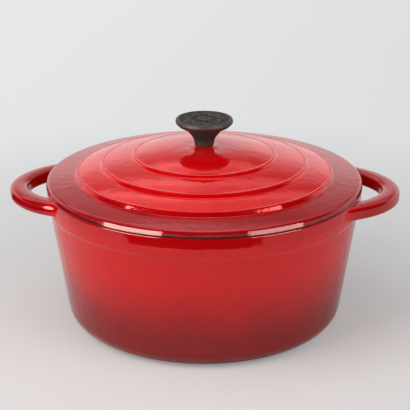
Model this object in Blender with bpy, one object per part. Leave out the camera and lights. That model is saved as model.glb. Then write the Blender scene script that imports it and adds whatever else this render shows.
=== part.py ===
"""Round enamelled cast iron dutch oven with a lift-off lid.

A cast pot with two loop handles, a stepped cast lid, and a moulded knob that a
screw from under the lid pulls onto the lid's boss. Metres, +Z up, +X through the
handles, origin on the table under the middle of the pot.
"""

import math

import bmesh
import bpy
from mathutils import Vector

MM = 0.001

# Resolution of the solids
TURN_STEPS = 60
KNOB_TURN_STEPS = 36
SMALL_TURN_STEPS = 28
CHORD_ERROR = 0.1 * MM
HANDLE_RINGS = 26
HANDLE_SIDES = 12
MERGE = 0.00002

# Fits between pieces
FIT_GAP = 0.3 * MM
MOUTH_CLEARANCE = 1.8 * MM
SCREW_HOLE_CLEARANCE = 0.5 * MM

# Pot casting
RIM_RADIUS = 136.0 * MM
RIM_HEIGHT = 121.4 * MM
RIM_THICKNESS = 4.4 * MM
RIM_EDGE_RADIUS = 1.2 * MM
BAND_HEIGHT = 17.1 * MM
BAND_TAPER = 1.0 * MM
BAND_STEP = 1.2 * MM
BAND_STEP_HEIGHT = 2.0 * MM
WALL = 3.4 * MM
WALL_DRAFT = 0.151
FLOOR_THICKNESS = 3.8 * MM
BASE_CORNER_RADIUS = 17.0 * MM
FOOT_RECESS = 0.8 * MM
FOOT_WIDTH = 22.0 * MM

# Loop handles, cast in one with the pot
HANDLE_ROOT_DEPTH = 28.8 * MM
HANDLE_REACH = 54.0 * MM
HANDLE_HALF_SPREAD = 54.0 * MM
HANDLE_PLAN_POWER = 1.85
HANDLE_WIDTH = 16.0 * MM
HANDLE_TIP_HEIGHT = 12.9 * MM
HANDLE_ROOT_HEIGHT = 13.6 * MM
HANDLE_BELOW_RIM = 0.4 * MM
HANDLE_DROP = 0.9 * MM
HANDLE_ROOT_FLARE = 6.0 * MM
HANDLE_FLARE_LENGTH = 16.0 * MM

# Lid casting, heights measured up from its seat on the pot's rim
LID_OVERHANG = 0.5 * MM
LID_WALL = 3.4 * MM
LID_EDGE_HEIGHT = 5.9 * MM
LID_EDGE_ROUNDING = 1.6 * MM
LID_SKIRT_DEPTH = 4.0 * MM
LID_SKIRT_WIDTH = 3.2 * MM
OUTER_STEP_RADIUS = 110.1 * MM
OUTER_STEP_FOOT_HEIGHT = 8.4 * MM
OUTER_STEP_RISE = 4.1 * MM
MIDDLE_STEP_RADIUS = 88.4 * MM
MIDDLE_STEP_FOOT_HEIGHT = 16.4 * MM
MIDDLE_STEP_RISE = 3.4 * MM
INNER_STEP_RADIUS = 61.3 * MM
INNER_STEP_FOOT_HEIGHT = 24.0 * MM
INNER_STEP_RISE = 2.6 * MM
STEP_RUN = 2.0 * MM
STEP_ROUNDING = 1.3 * MM
CROWN_HEIGHT = 28.5 * MM
CROWN_PAD_RADIUS = 12.0 * MM
BOSS_RADIUS = 8.2 * MM
BOSS_HEIGHT = 33.6 * MM
BOSS_FLARE = 11.0 * MM
BOSS_FLARE_HEIGHT = 3.6 * MM

# Knob, screwed on from under the lid
KNOB_RADIUS = 24.9 * MM
KNOB_HEIGHT = 23.8 * MM
KNOB_RIM_THICKNESS = 5.8 * MM
KNOB_RIM_WIDTH = 3.4 * MM
KNOB_DISH_DEPTH = 1.5 * MM
KNOB_NECK_RADIUS = 7.9 * MM
KNOB_NECK_HEIGHT = 5.5 * MM
KNOB_UNDERSIDE_RISE = 3.2 * MM

# Threaded insert moulded into the knob
INSERT_RADIUS = 4.9 * MM
INSERT_LENGTH = 12.0 * MM
INSERT_GROOVE_DEPTH = 0.7 * MM
INSERT_GROOVE_LENGTH = 3.0 * MM
KNURL_DEPTH = 0.35 * MM
KNURL_TEETH = 20

# M6 pan head screw and its washers
SCREW_RADIUS = 2.9 * MM
SCREW_LENGTH = 24.0 * MM
SCREW_TIP_CHAMFER = 0.7 * MM
HEAD_RADIUS = 6.0 * MM
HEAD_HEIGHT = 3.8 * MM
HEAD_ROUNDING = 2.2 * MM
RECESS_WIDTH = 1.5 * MM
RECESS_LENGTH = 6.0 * MM
RECESS_DEPTH = 2.0 * MM
SPRING_WASHER_RADIUS = 5.9 * MM
SPRING_WASHER_THICKNESS = 1.5 * MM
SPRING_WASHER_SPLIT = 1.0 * MM
SPRING_WASHER_LEAN = 0.8 * MM
FLAT_WASHER_RADIUS = 9.0 * MM
FLAT_WASHER_THICKNESS = 1.2 * MM

# Levels that the pieces share
LID_SEAT_Z = RIM_HEIGHT + FIT_GAP
LID_RADIUS = RIM_RADIUS + LID_OVERHANG
MOUTH_RADIUS = RIM_RADIUS - RIM_THICKNESS
BOSS_Z = LID_SEAT_Z + BOSS_HEIGHT
PAD_Z = LID_SEAT_Z + CROWN_HEIGHT - LID_WALL
KNOB_SEAT_Z = BOSS_Z + FIT_GAP
FLAT_WASHER_TOP_Z = PAD_Z - FIT_GAP
SPRING_WASHER_TOP_Z = FLAT_WASHER_TOP_Z - FLAT_WASHER_THICKNESS - FIT_GAP
HEAD_SEAT_Z = SPRING_WASHER_TOP_Z - SPRING_WASHER_THICKNESS - FIT_GAP
SCREW_TIP_Z = HEAD_SEAT_Z + SCREW_LENGTH
INSERT_TOP_Z = KNOB_SEAT_Z + INSERT_LENGTH

# Colours as linear RGB
ENAMEL_RED = (0.60, 0.030, 0.035, 1.0)
KNOB_BLACK = (0.045, 0.042, 0.040, 1.0)
BRASS = (0.70, 0.48, 0.18, 1.0)
STEEL = (0.56, 0.56, 0.58, 1.0)


def clear_scene():
    """Remove every object the file opened with."""
    for item in list(bpy.data.objects):
        bpy.data.objects.remove(item, do_unlink=True)


def make_material(name, colour, roughness, metallic):
    """Return a Principled material."""
    material = bpy.data.materials.new(name)
    material.use_nodes = True
    shader = material.node_tree.nodes["Principled BSDF"]
    shader.inputs["Base Color"].default_value = colour
    shader.inputs["Roughness"].default_value = roughness
    shader.inputs["Metallic"].default_value = metallic
    return material


def rounded(corners):
    """Turn corners (radius, height, rounding) into outline points.

    A rounding of 0 keeps the corner sharp. Any other is the radius of the arc
    that replaces it, limited to what the two straight sides leave room for. An
    arc has as many points as keep its chords within CHORD_ERROR of it.
    """
    points = []
    last = len(corners) - 1
    for index, (radius, height, rounding) in enumerate(corners):
        corner = Vector((radius, height))
        if rounding <= 0.0 or index in (0, last):
            points.append(corner)
            continue
        sides = []
        room = []
        for neighbour in (corners[index - 1], corners[index + 1]):
            side = Vector(neighbour[:2]) - corner
            sides.append(side.normalized())
            room.append(side.length * (0.5 if neighbour[2] > 0.0 else 1.0))
        half_angle = sides[0].angle(sides[1]) / 2.0
        tangent = min(rounding / math.tan(half_angle), 0.98 * min(room))
        arc_radius = tangent * math.tan(half_angle)
        middle = (sides[0] + sides[1]).normalized()
        centre = corner + middle * (arc_radius / math.sin(half_angle))
        spoke = corner + sides[0] * tangent - centre
        turn = -spoke.angle_signed(corner + sides[1] * tangent - centre)
        widest = 2.0 * math.acos(1.0 - min(CHORD_ERROR / arc_radius, 0.5))
        steps = max(1, math.ceil(abs(turn) / widest))
        for step in range(steps + 1):
            cosine = math.cos(turn * step / steps)
            sine = math.sin(turn * step / steps)
            points.append(centre + Vector((
                spoke.x * cosine - spoke.y * sine,
                spoke.x * sine + spoke.y * cosine,
            )))
    return points


def turned(name, outline, steps=TURN_STEPS, closed=False):
    """Spin an outline of (radius, height) points about Z with a Screw modifier.

    The outline runs down the outer side. A closed one never touches the axis.
    """
    mesh = bpy.data.meshes.new(name)
    count = len(outline)
    edges = [(index, index + 1) for index in range(count - 1)]
    if closed:
        edges.append((count - 1, 0))
    mesh.from_pydata([(point[0], 0.0, point[1]) for point in outline], edges, [])
    piece = bpy.data.objects.new(name, mesh)
    bpy.context.collection.objects.link(piece)
    screw = piece.modifiers.new("Turn", "SCREW")
    screw.steps = steps
    screw.render_steps = steps
    screw.use_merge_vertices = True
    screw.merge_threshold = MERGE
    screw.use_smooth_shade = True
    return piece


def mesh_piece(name, build):
    """Make an object whose mesh is filled by the given bmesh function."""
    shape = bmesh.new()
    build(shape)
    bmesh.ops.recalc_face_normals(shape, faces=shape.faces)
    mesh = bpy.data.meshes.new(name)
    shape.to_mesh(mesh)
    shape.free()
    piece = bpy.data.objects.new(name, mesh)
    bpy.context.collection.objects.link(piece)
    return piece


def cut(target, tool, operation="DIFFERENCE"):
    """Apply an exact boolean to target and keep the tool as a hidden guide."""
    boolean = target.modifiers.new(tool.name, "BOOLEAN")
    boolean.operation = operation
    boolean.solver = "EXACT"
    boolean.object = tool
    tool.hide_render = True
    tool.display_type = "WIRE"


def smooth_by_angle(piece, degrees=35.0):
    """Shade a plain mesh smooth and keep its hard edges sharp."""
    piece.data.shade_smooth()
    piece.data.set_sharp_from_angle(angle=math.radians(degrees))


def loft(shape, rings):
    """Skin a list of equal rings of points and cap both ends."""
    rows = [[shape.verts.new(point) for point in ring] for ring in rings]
    count = len(rows[0])
    for row, following in zip(rows, rows[1:]):
        for index in range(count):
            after = (index + 1) % count
            shape.faces.new((row[index], row[after], following[after], following[index]))
    shape.faces.new(list(reversed(rows[0])))
    shape.faces.new(rows[-1])


def wall_radius(height):
    """Radius of the pot's outer wall under the band at a height."""
    band_foot = RIM_HEIGHT - BAND_HEIGHT - BAND_STEP_HEIGHT
    top_radius = RIM_RADIUS - BAND_TAPER - BAND_STEP
    return top_radius - WALL_DRAFT * (band_foot - height)


def base_tangent(corner_radius):
    """Length of floor that a base corner's arc takes up."""
    lean = math.atan(WALL_DRAFT)
    return corner_radius * math.tan((math.pi / 2.0 - lean) / 2.0)


def pot_outside():
    """Outline of the pot as a solid block, from the rim down to the foot."""
    band_z = RIM_HEIGHT - BAND_HEIGHT
    wall_z = band_z - BAND_STEP_HEIGHT
    corner_radius = wall_radius(0.0)
    recess_radius = corner_radius - base_tangent(BASE_CORNER_RADIUS) - FOOT_WIDTH
    return rounded([
        (0.0, RIM_HEIGHT, 0.0),
        (RIM_RADIUS, RIM_HEIGHT, RIM_EDGE_RADIUS),
        (RIM_RADIUS - BAND_TAPER, band_z, 2.5 * BAND_STEP),
        (wall_radius(wall_z), wall_z, 2.5 * BAND_STEP),
        (corner_radius, 0.0, BASE_CORNER_RADIUS),
        (recess_radius, 0.0, 0.0),
        (recess_radius - 2.0 * FOOT_RECESS, FOOT_RECESS, 0.0),
        (0.0, FOOT_RECESS, 0.0),
    ])


def pot_cavity():
    """Outline of the cooking space, closed above the rim."""
    inner_edge = 0.7 * RIM_EDGE_RADIUS
    above = RIM_HEIGHT + 2.0 * RIM_THICKNESS
    collar_z = RIM_HEIGHT - BAND_HEIGHT + BAND_STEP_HEIGHT
    slant_z = collar_z - 2.0 * BAND_STEP_HEIGHT
    floor_z = FLOOR_THICKNESS + FOOT_RECESS
    inset = WALL / math.cos(math.atan(WALL_DRAFT))
    return rounded([
        (0.0, above, 0.0),
        (MOUTH_RADIUS + inner_edge, above, 0.0),
        (MOUTH_RADIUS + inner_edge, RIM_HEIGHT, 0.0),
        (MOUTH_RADIUS, RIM_HEIGHT - inner_edge, 0.0),
        (MOUTH_RADIUS, collar_z, 4.0 * BAND_STEP),
        (wall_radius(slant_z) - inset, slant_z, 4.0 * BAND_STEP),
        (wall_radius(floor_z) - inset, floor_z, BASE_CORNER_RADIUS - WALL),
        (0.0, floor_z, 0.0),
    ])


def handle_point(angle):
    """Middle of the handle at an angle from -90 to 90 degrees, seen from above."""
    power = 2.0 / HANDLE_PLAN_POWER
    along = math.cos(angle) ** power
    across = math.copysign(abs(math.sin(angle)) ** power, angle)
    drop = HANDLE_DROP * along
    root_z = RIM_HEIGHT - HANDLE_BELOW_RIM - HANDLE_ROOT_HEIGHT / 2.0
    return Vector((
        RIM_RADIUS - HANDLE_ROOT_DEPTH + HANDLE_REACH * along,
        HANDLE_HALF_SPREAD * across,
        root_z - drop,
    ))


def handle_rings():
    """Rings of the loop handle from one buried end to the other."""
    rings = []
    reach = math.radians(86.0)
    for index in range(HANDLE_RINGS + 1):
        angle = -reach + 2.0 * reach * index / HANDLE_RINGS
        middle = handle_point(angle)
        ahead = handle_point(min(angle + 0.02, reach)) - handle_point(max(angle - 0.02, -reach))
        ahead.z = 0.0
        side = Vector((ahead.y, -ahead.x, 0.0)).normalized()
        from_wall = max(middle.xy.length - RIM_RADIUS, 0.0)
        flare = max(1.0 - from_wall / HANDLE_FLARE_LENGTH, 0.0) ** 2
        root_share = 1.0 - math.cos(angle)
        height = HANDLE_TIP_HEIGHT + (HANDLE_ROOT_HEIGHT - HANDLE_TIP_HEIGHT) * root_share
        half_width = HANDLE_WIDTH / 2.0 + HANDLE_ROOT_FLARE * flare / 2.0
        ring = []
        for side_index in range(HANDLE_SIDES):
            turn = 2.0 * math.pi * side_index / HANDLE_SIDES
            outward = side * (half_width * math.cos(turn))
            upward = Vector((0.0, 0.0, height / 2.0 * math.sin(turn)))
            ring.append(middle + outward + upward)
        rings.append(ring)
    return rings


def make_pot(material):
    """The pot casting with its two loop handles."""
    pot = turned("pot", pot_outside())
    pot.data.materials.append(material)
    for name, flip in (("handle_guide_right", 1.0), ("handle_guide_left", -1.0)):
        rings = [[Vector((flip * p.x, flip * p.y, p.z)) for p in ring] for ring in handle_rings()]
        guide = mesh_piece(name, lambda shape, rings=rings: loft(shape, rings))
        cut(pot, guide, "UNION")
    cavity = turned("cavity_guide", pot_cavity())
    cut(pot, cavity)
    return pot


def lid_step(radius, foot_height, rise):
    """Corners of one step of the lid, from its lip out and down to its foot."""
    foot_z = LID_SEAT_Z + foot_height
    return [
        (radius, foot_z + rise, STEP_ROUNDING),
        (radius + STEP_RUN, foot_z, STEP_ROUNDING),
    ]


def lid_outline():
    """Closed outline of the lid: over the top, down the edge and back underneath."""
    steps = (
        (INNER_STEP_RADIUS, INNER_STEP_FOOT_HEIGHT, INNER_STEP_RISE),
        (MIDDLE_STEP_RADIUS, MIDDLE_STEP_FOOT_HEIGHT, MIDDLE_STEP_RISE),
        (OUTER_STEP_RADIUS, OUTER_STEP_FOOT_HEIGHT, OUTER_STEP_RISE),
    )
    hole_radius = SCREW_RADIUS + SCREW_HOLE_CLEARANCE
    crown_z = LID_SEAT_Z + CROWN_HEIGHT
    edge_z = LID_SEAT_Z + LID_EDGE_HEIGHT
    skirt_radius = MOUTH_RADIUS - MOUTH_CLEARANCE
    skirt_inner = skirt_radius - LID_SKIRT_WIDTH
    under_edge_z = edge_z - 0.8 * LID_WALL
    flare_radius = BOSS_RADIUS + BOSS_FLARE
    crown_middle = (flare_radius + INNER_STEP_RADIUS) / 2.0
    inner_lip_z = LID_SEAT_Z + INNER_STEP_FOOT_HEIGHT + INNER_STEP_RISE
    crown_middle_z = inner_lip_z + 0.72 * (crown_z - inner_lip_z)
    top = [
        (hole_radius, BOSS_Z, 0.0),
        (BOSS_RADIUS, BOSS_Z, 0.25 * STEP_ROUNDING),
        (BOSS_RADIUS, crown_z + 0.15 * BOSS_FLARE_HEIGHT, BOSS_FLARE_HEIGHT),
        (flare_radius, crown_z, 4.0 * BOSS_FLARE_HEIGHT),
        (crown_middle, crown_middle_z, 0.0),
    ]
    under = [
        (crown_middle - LID_WALL / 2.0, crown_middle_z - LID_WALL, 0.0),
        (CROWN_PAD_RADIUS, PAD_Z, 0.0),
        (hole_radius, PAD_Z, 0.0),
    ]
    for radius, foot_height, rise in steps:
        top += lid_step(radius, foot_height, rise)
        foot_z = LID_SEAT_Z + foot_height - LID_WALL
        under.insert(0, (radius - LID_WALL / 2.0, foot_z + rise, STEP_ROUNDING))
        under.insert(0, (radius + STEP_RUN - LID_WALL / 2.0, foot_z, STEP_ROUNDING))
    edge = [
        (LID_RADIUS - LID_EDGE_ROUNDING, edge_z, LID_EDGE_ROUNDING),
        (LID_RADIUS, edge_z - LID_EDGE_ROUNDING, LID_EDGE_ROUNDING),
        (LID_RADIUS - 0.2 * LID_EDGE_ROUNDING, LID_SEAT_Z, 0.3 * LID_EDGE_ROUNDING),
        (skirt_radius, LID_SEAT_Z, 0.3 * LID_EDGE_ROUNDING),
        (skirt_radius, LID_SEAT_Z - LID_SKIRT_DEPTH, 0.5 * LID_EDGE_ROUNDING),
        (skirt_inner, LID_SEAT_Z - LID_SKIRT_DEPTH, 0.5 * LID_EDGE_ROUNDING),
        (skirt_inner - LID_SKIRT_WIDTH, under_edge_z, LID_EDGE_ROUNDING),
    ]
    return rounded(top + edge + under)


def make_lid(material):
    """The lid casting."""
    lid = turned("lid", lid_outline(), closed=True)
    lid.data.materials.append(material)
    return lid


def knob_outline():
    """Outline of the knob, from the middle of its dish down to its blind hole."""
    top_z = KNOB_SEAT_Z + KNOB_HEIGHT
    dish_z = top_z - KNOB_DISH_DEPTH
    rim_low_z = top_z - KNOB_RIM_THICKNESS
    neck_z = KNOB_SEAT_Z + KNOB_NECK_HEIGHT
    hole_radius = INSERT_RADIUS + FIT_GAP
    hole_end_z = max(INSERT_TOP_Z, SCREW_TIP_Z) + FIT_GAP
    lip_radius = KNOB_RADIUS - KNOB_RIM_WIDTH
    middle_radius = (KNOB_NECK_RADIUS + lip_radius) / 2.0
    return rounded([
        (0.0, dish_z, 0.0),
        (lip_radius, dish_z, 0.8 * KNOB_DISH_DEPTH),
        (lip_radius + 0.3 * KNOB_RIM_WIDTH, top_z, 0.8 * KNOB_DISH_DEPTH),
        (KNOB_RADIUS - 0.2 * KNOB_RIM_WIDTH, top_z - 0.15 * KNOB_RIM_THICKNESS, 1.0 * KNOB_DISH_DEPTH),
        (KNOB_RADIUS, top_z - 0.55 * KNOB_RIM_THICKNESS, 1.5 * KNOB_DISH_DEPTH),
        (lip_radius, rim_low_z, 3.0 * KNOB_DISH_DEPTH),
        (middle_radius, rim_low_z - KNOB_UNDERSIDE_RISE, 4.0 * KNOB_DISH_DEPTH),
        (KNOB_NECK_RADIUS + 0.05 * KNOB_NECK_RADIUS, neck_z, 8.0 * KNOB_DISH_DEPTH),
        (KNOB_NECK_RADIUS, KNOB_SEAT_Z, 0.0),
        (hole_radius, KNOB_SEAT_Z, 0.0),
        (hole_radius, hole_end_z, 0.0),
        (0.0, hole_end_z, 0.0),
    ])


def make_knob(material):
    """The moulded knob with its blind hole for the insert."""
    knob = turned("knob", knob_outline(), KNOB_TURN_STEPS)
    knob.data.materials.append(material)
    return knob


def insert_build(shape):
    """Knurled insert: two toothed bands with a plain groove between them."""
    bore_radius = SCREW_RADIUS + FIT_GAP
    band = (INSERT_LENGTH - INSERT_GROOVE_LENGTH) / 2.0
    sides = 2 * KNURL_TEETH
    levels = (
        (0.0, 0.0),
        (band, 0.0),
        (band, INSERT_GROOVE_DEPTH),
        (band + INSERT_GROOVE_LENGTH, INSERT_GROOVE_DEPTH),
        (band + INSERT_GROOVE_LENGTH, 0.0),
        (INSERT_LENGTH, 0.0),
    )
    rows = []
    for height, sunk in levels:
        row = []
        for index in range(sides):
            turn = 2.0 * math.pi * index / sides
            tooth = KNURL_DEPTH * (index % 2) if sunk == 0.0 else 0.0
            radius = INSERT_RADIUS - tooth - sunk
            point = (radius * math.cos(turn), radius * math.sin(turn), height)
            row.append(shape.verts.new(point))
        rows.append(row)
    for height in (INSERT_LENGTH, 0.0):
        row = []
        for index in range(sides):
            turn = 2.0 * math.pi * index / sides
            point = (bore_radius * math.cos(turn), bore_radius * math.sin(turn), height)
            row.append(shape.verts.new(point))
        rows.append(row)
    rows.append(rows[0])
    for row, following in zip(rows, rows[1:]):
        for index in range(sides):
            after = (index + 1) % sides
            shape.faces.new((row[index], row[after], following[after], following[index]))


def make_insert(material):
    """The brass insert that the screw threads into."""
    insert = mesh_piece("knob_insert", insert_build)
    insert.location.z = KNOB_SEAT_Z
    smooth_by_angle(insert, 25.0)
    insert.data.materials.append(material)
    return insert


def make_screw(material):
    """The pan head screw with a cross recess, its head under the lid."""
    outline = rounded([
        (0.0, SCREW_LENGTH, 0.0),
        (SCREW_RADIUS - SCREW_TIP_CHAMFER, SCREW_LENGTH, 0.0),
        (SCREW_RADIUS, SCREW_LENGTH - SCREW_TIP_CHAMFER, 0.0),
        (SCREW_RADIUS, 0.0, 0.0),
        (HEAD_RADIUS, 0.0, 0.0),
        (HEAD_RADIUS, -HEAD_HEIGHT, HEAD_ROUNDING),
        (0.0, -HEAD_HEIGHT, 0.0),
    ])
    screw = turned("knob_screw", outline, SMALL_TURN_STEPS)
    screw.location.z = HEAD_SEAT_Z
    screw.data.materials.append(material)
    long_half = RECESS_LENGTH / 2.0
    short_half = RECESS_WIDTH / 2.0
    outlines = (("recess_guide_x", long_half, short_half), ("recess_guide_y", short_half, long_half))
    for name, half_x, half_y in outlines:
        def slot(shape, half_x=half_x, half_y=half_y):
            """Fill the mesh with one bar of the recess, narrower at its floor."""
            rings = []
            for height, taper in ((-HEAD_HEIGHT - RECESS_DEPTH, 1.0), (-HEAD_HEIGHT + RECESS_DEPTH, 0.7)):
                corners = ((-1, -1), (1, -1), (1, 1), (-1, 1))
                rings.append([Vector((x * half_x * taper, y * half_y, height)) for x, y in corners])
            loft(shape, rings)
        guide = mesh_piece(name, slot)
        guide.parent = screw
        cut(screw, guide)
    return screw


def make_spring_washer(material):
    """The split lock washer, pressed flat, with its ends cut on a slant."""
    inner = SCREW_RADIUS + FIT_GAP
    middle = (inner + SPRING_WASHER_RADIUS) / 2.0
    split = SPRING_WASHER_SPLIT / middle
    lean = SPRING_WASHER_LEAN / middle

    def build(shape):
        """Sweep the washer's square section round to the split."""
        rings = []
        for index in range(SMALL_TURN_STEPS + 1):
            share = index / SMALL_TURN_STEPS
            turn = split / 2.0 + share * (2.0 * math.pi - split)
            ring = []
            corners = (
                (inner, 0.0),
                (SPRING_WASHER_RADIUS, 0.0),
                (SPRING_WASHER_RADIUS, SPRING_WASHER_THICKNESS),
                (inner, SPRING_WASHER_THICKNESS),
            )
            for radius, height in corners:
                slant = turn + lean * height / SPRING_WASHER_THICKNESS
                ring.append(Vector((radius * math.cos(slant), radius * math.sin(slant), height)))
            rings.append(ring)
        loft(shape, rings)

    washer = mesh_piece("spring_washer", build)
    washer.location.z = SPRING_WASHER_TOP_Z - SPRING_WASHER_THICKNESS
    smooth_by_angle(washer)
    washer.data.materials.append(material)
    return washer


def make_flat_washer(material):
    """The flat washer that spreads the screw's load on the lid."""
    inner = SCREW_RADIUS + FIT_GAP
    outline = [
        Vector((inner, 0.0)),
        Vector((FLAT_WASHER_RADIUS, 0.0)),
        Vector((FLAT_WASHER_RADIUS, -FLAT_WASHER_THICKNESS)),
        Vector((inner, -FLAT_WASHER_THICKNESS)),
    ]
    washer = turned("flat_washer", outline, SMALL_TURN_STEPS, closed=True)
    washer.location.z = FLAT_WASHER_TOP_Z
    washer.data.materials.append(material)
    return washer


def main():
    """Build the whole dutch oven."""
    clear_scene()
    enamel = make_material("red_enamel", ENAMEL_RED, 0.15, 0.0)
    phenolic = make_material("black_phenolic", KNOB_BLACK, 0.5, 0.0)
    brass = make_material("brass", BRASS, 0.35, 1.0)
    steel = make_material("stainless_steel", STEEL, 0.35, 1.0)
    make_pot(enamel)
    lift_axis = bpy.data.objects.new("lid_lift_axis", None)
    bpy.context.collection.objects.link(lift_axis)
    lifted = [
        make_lid(enamel),
        make_knob(phenolic),
        make_insert(brass),
        make_screw(steel),
        make_spring_washer(steel),
        make_flat_washer(steel),
    ]
    for piece in lifted:
        piece.parent = lift_axis


main()
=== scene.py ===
"""Studio scene of an enamelled cast iron dutch oven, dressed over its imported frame.

The pot, its handles, the lid and the knob are rebuilt here with finer shapes than the
frame has, and finished in enamel, raw iron and moulded phenolic. The screw, the washers
and the insert are the frame's own nodes with new finishes. Every place is in the frame's
axes: +Z up, +X through the right handle, +Y away from the camera. Sizes of the pot are
written in millimetres and turned to metres where a mesh or a shader takes them. The
studio's places are written in metres.
"""

from __future__ import annotations

import logging
import math
from dataclasses import dataclass
from enum import Enum, IntEnum
from typing import Any, Callable, NamedTuple

import bmesh
import bpy
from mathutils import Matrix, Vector

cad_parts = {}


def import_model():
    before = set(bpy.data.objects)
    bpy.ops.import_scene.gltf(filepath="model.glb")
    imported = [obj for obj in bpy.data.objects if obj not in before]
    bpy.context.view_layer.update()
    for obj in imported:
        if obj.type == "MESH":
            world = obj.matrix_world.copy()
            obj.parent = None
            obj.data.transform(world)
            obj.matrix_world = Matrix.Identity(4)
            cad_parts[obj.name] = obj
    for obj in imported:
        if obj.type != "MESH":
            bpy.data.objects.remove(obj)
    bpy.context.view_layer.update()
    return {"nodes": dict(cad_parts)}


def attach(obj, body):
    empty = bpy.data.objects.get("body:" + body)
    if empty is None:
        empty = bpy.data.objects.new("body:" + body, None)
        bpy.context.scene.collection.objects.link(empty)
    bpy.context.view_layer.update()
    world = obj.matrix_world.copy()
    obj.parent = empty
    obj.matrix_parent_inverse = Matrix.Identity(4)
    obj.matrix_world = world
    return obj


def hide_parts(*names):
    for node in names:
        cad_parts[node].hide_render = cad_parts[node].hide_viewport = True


LOG = logging.getLogger("dutch_oven")
MM = 0.001

Socket = bpy.types.NodeSocket
Levels = tuple[tuple[float, float], ...]


# Colours and nodes


def linear(code: str) -> tuple[float, float, float, float]:
    """Turn an sRGB hex colour into linear light.

    Args:
        code: The colour as six hex digits.

    Returns:
        Red, green, blue and an alpha of one.
    """
    channels = []
    for start in (0, 2, 4):
        share = int(code[start : start + 2], 16) / 255.0
        if share <= 0.04045:
            channels.append(share / 12.92)
        else:
            channels.append(((share + 0.055) / 1.055) ** 2.4)
    return (channels[0], channels[1], channels[2], 1.0)


def per_metre(size_mm: float) -> float:
    """Texture scale that gives a pattern features of a real size."""
    return 1.0 / (size_mm * MM)


class Graph:
    """The nodes of one material or world, with short ways to add the common ones."""

    def __init__(self, tree: bpy.types.NodeTree) -> None:
        """Start with the tree emptied."""
        self.tree = tree
        tree.nodes.clear()

    def add(
        self,
        kind: str,
        settings: dict[str, Any] | None = None,
        inputs: dict[str | int, Any] | None = None,
    ) -> bpy.types.Node:
        """Add one node, set its options, and fill or link its inputs.

        Args:
            kind: The node's type name.
            settings: Options of the node itself.
            inputs: A constant or an output socket for each named or numbered input.

        Returns:
            The new node.
        """
        node = self.tree.nodes.new(kind)
        for name, value in (settings or {}).items():
            setattr(node, name, value)
        for key, value in (inputs or {}).items():
            if isinstance(value, Socket):
                self.tree.links.new(value, node.inputs[key])
            else:
                node.inputs[key].default_value = value
        return node

    def place(self, kind: str = "Object") -> Socket:
        """Coordinates of one kind."""
        return self.add("ShaderNodeTexCoord").outputs[kind]

    def axes(self, place: Socket) -> Any:
        """The X, Y and Z outputs of a place."""
        return self.add("ShaderNodeSeparateXYZ", inputs={0: place}).outputs

    def flat(self, axes: Any) -> Socket:
        """The level part of a place that is split into its axes."""
        inputs = {"X": axes["X"], "Y": axes["Y"]}
        return self.add("ShaderNodeCombineXYZ", inputs=inputs).outputs[0]

    def length(self, place: Socket) -> Socket:
        """The distance of a place from the origin."""
        node = self.add("ShaderNodeVectorMath", {"operation": "LENGTH"}, {0: place})
        return node.outputs["Value"]

    def maths(self, operation: str, *values: Any) -> Socket:
        """The result of one operation on numbers."""
        inputs = dict(enumerate(values))
        return self.add("ShaderNodeMath", {"operation": operation}, inputs).outputs[0]

    def noise(self, place: Socket, size_mm: float, **others: float) -> Socket:
        """Noise with features of a real size, and other inputs by their names."""
        inputs = {"Vector": place, "Scale": per_metre(size_mm), **others}
        return self.add("ShaderNodeTexNoise", inputs=inputs).outputs["Fac"]

    def bumped(self, height: Socket, height_mm: float, **others: Any) -> Socket:
        """A normal bent by a height, and other inputs by their names."""
        inputs = {"Distance": height_mm * MM, "Height": height, **others}
        return self.add("ShaderNodeBump", inputs=inputs).outputs["Normal"]

    def mixed(self, share: Socket, first: Any, second: Any, kind: str = "RGBA") -> Socket:
        """Two colours mixed, or two numbers where the kind is FLOAT."""
        inputs = {"Factor": share, "A": first, "B": second}
        return self.add("ShaderNodeMix", {"data_type": kind}, inputs).outputs["Result"]

    def ranged(
        self,
        value: Socket,
        start: float,
        end: float,
        low: float = 0.0,
        high: float = 1.0,
        smooth: bool = False,
    ) -> Socket:
        """Turn a stretch of values into another stretch, held at its ends.

        Args:
            value: What is turned.
            start: The value that gives the low result.
            end: The value that gives the high result.
            low: The result at the start.
            high: The result at the end.
            smooth: Whether the result eases in and out.

        Returns:
            The result's socket.
        """
        settings = {"interpolation_type": "SMOOTHSTEP"} if smooth else None
        inputs = {
            "Value": value,
            "From Min": start,
            "From Max": end,
            "To Min": low,
            "To Max": high,
        }
        return self.add("ShaderNodeMapRange", settings, inputs).outputs["Result"]

    def ramp(self, share: Socket, stops: list[tuple[float, Any]]) -> Socket:
        """Colours along a ramp.

        Args:
            share: The place on the ramp, from 0 to 1.
            stops: Pairs of position and linear colour, in order.

        Returns:
            The colour's socket.
        """
        node = self.add("ShaderNodeValToRGB", inputs={"Fac": share})
        elements = node.color_ramp.elements
        while len(elements) < len(stops):
            elements.new(0.5)
        for element, (position, colour) in zip(elements, stops):
            element.position = position
            element.color = colour
        return node.outputs["Color"]

    def either(
        self, share: Socket, first: bpy.types.Node, second: bpy.types.Node
    ) -> bpy.types.Node:
        """Two shaders mixed."""
        inputs = {0: share, 1: first.outputs[0], 2: second.outputs[0]}
        return self.add("ShaderNodeMixShader", inputs=inputs)

    def finish(self, shader: bpy.types.Node, kind: str = "ShaderNodeOutputMaterial") -> None:
        """Lead a shader to the output."""
        self.add(kind, inputs={"Surface": shader.outputs[0]})


def new_material(name: str) -> tuple[bpy.types.Material, Graph]:
    """Start a material.

    Args:
        name: The finish in a maker's words.

    Returns:
        The material and its empty nodes.
    """
    material = bpy.data.materials.new(name)
    material.use_nodes = True
    return material, Graph(material.node_tree)


# Finishes


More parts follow.
